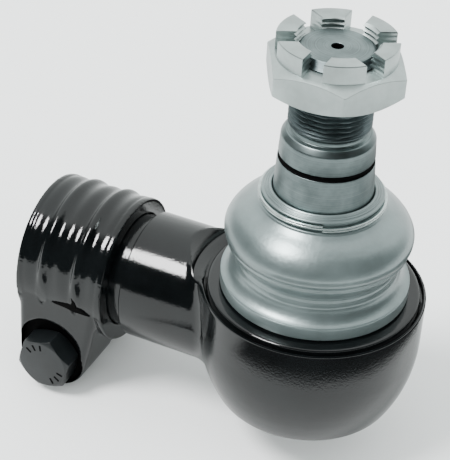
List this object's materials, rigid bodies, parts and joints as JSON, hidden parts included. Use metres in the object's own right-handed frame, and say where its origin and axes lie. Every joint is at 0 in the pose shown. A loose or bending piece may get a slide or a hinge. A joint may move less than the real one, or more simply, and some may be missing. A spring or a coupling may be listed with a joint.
{
  "type": "tie rod end",
  "caption": "Heavy-duty angle tie rod end: tapered ball stud with castle nut, rubber dust boot, black forged housing and a slotted screw socket held by a bolted clamp.",
  "frame": {"origin": "the ball's centre, where the stud's axis meets the socket's axis", "axes": "+Z along the ball stud toward its thread; -X along the socket toward the tie rod; Y across"},
  "size_m": [0.126, 0.068, 0.1394],
  "materials": {
    "paint": "gloss",
    "steel": "satin",
    "zinc": "satin",
    "seat_plastic": "matte",
    "rubber_seal": "matte",
    "boot_rubber": "satin",
    "ring_steel": "gloss",
    "bolt_black": "satin"
  },
  "bodies": {
    "housing": {"housing": "paint", "pressure_spring": "steel", "cover_plate": "paint", "cover_seal": "rubber_seal", "cover_retaining_ring": "steel", "boot_lower_ring": "paint", "dust_boot": "boot_rubber"},
    "ball_seats": {"upper_ball_seat": "seat_plastic", "lower_ball_seat": "seat_plastic"},
    "boot_head": {"boot_support_ring": "steel", "boot_upper_ring": "ring_steel"},
    "stud": {"ball_stud": "steel"},
    "nut": {"castle_nut": "zinc"},
    "clamp": {"clamp_collar": "paint", "clamp_nut": "bolt_black"},
    "bolt": {"clamp_bolt": "bolt_black"}
  },
  "joints": [
    {"name": "seat_turn", "type": "hinge", "parent": "housing", "child": "ball_seats", "pos_m": [0, 0, 0], "axis": [0, 0, 1], "continuous": true},
    {"name": "stud_tilt", "type": "hinge", "parent": "ball_seats", "child": "boot_head", "pos_m": [0, 0, 0], "axis": [1, 0, 0], "range_deg": [-18, 18], "deforming": ["dust_boot"]},
    {"name": "stud_spin", "type": "hinge", "parent": "boot_head", "child": "stud", "pos_m": [0, 0, 0], "axis": [0, 0, 1], "continuous": true},
    {"name": "nut_travel", "type": "slide", "parent": "stud", "child": "nut", "axis": [0, 0, 1], "range_m": [-0.0105, 0.012]},
    {"name": "clamp_swivel", "type": "hinge", "parent": "housing", "child": "clamp", "pos_m": [-0.076, 0, 0], "axis": [1, 0, 0], "continuous": true},
    {"name": "bolt_turn", "type": "hinge", "parent": "clamp", "child": "bolt", "pos_m": [-0.0795, 0, -0.0273], "axis": [0, 1, 0], "continuous": true}
  ]
}
